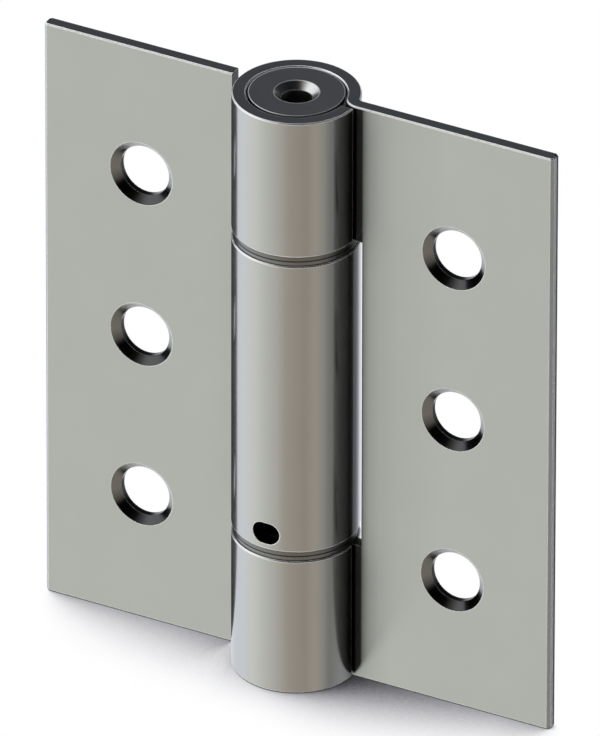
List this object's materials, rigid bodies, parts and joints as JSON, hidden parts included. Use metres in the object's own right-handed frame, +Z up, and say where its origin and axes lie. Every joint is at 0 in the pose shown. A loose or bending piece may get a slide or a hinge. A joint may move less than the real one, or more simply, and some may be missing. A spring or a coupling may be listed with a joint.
{
  "type": "spring hinge",
  "caption": "Self-closing spring hinge with square-cornered steel leaves, countersunk screw holes and a rolled barrel that holds a torsion spring and its adjuster.",
  "frame": {"origin": "on the pin axis, at the height of the hinge's lower end", "axes": "+Z up along the pin axis, +X across the frame leaf, +Y out of the backs of the leaves, away from the countersunk faces"},
  "size_m": [0.0888, 0.02, 0.102],
  "materials": {
    "leaf_steel": "satin",
    "plug_steel": "satin",
    "turned_steel": "turned and blackened",
    "bush_steel": "ground",
    "washer_steel": "ground",
    "spring_steel": "oiled"
  },
  "bodies": {
    "frame": {"frame_leaf": "leaf_steel", "top_plug": "plug_steel", "bottom_plug": "plug_steel", "lower_bush": "bush_steel", "upper_washer": "washer_steel", "upper_pivot": "turned_steel", "torsion_spring": "spring_steel"},
    "door": {"door_leaf": "leaf_steel", "upper_bush": "bush_steel", "lower_washer": "washer_steel"},
    "adjuster": {"tension_adjuster": "turned_steel"}
  },
  "joints": [
    {"name": "leaf_swing", "type": "hinge", "parent": "frame", "child": "door", "pos_m": [0, 0, 0.051], "axis": [0, 0, 1], "range_deg": [0, 180]},
    {"name": "adjuster_turn", "type": "hinge", "parent": "frame", "child": "adjuster", "pos_m": [0, 0, 0.02825], "axis": [0, 0, -1], "range_deg": [0, 120], "stiffness_Nm_per_rad": 0.76, "deforming": ["torsion_spring"]}
  ]
}
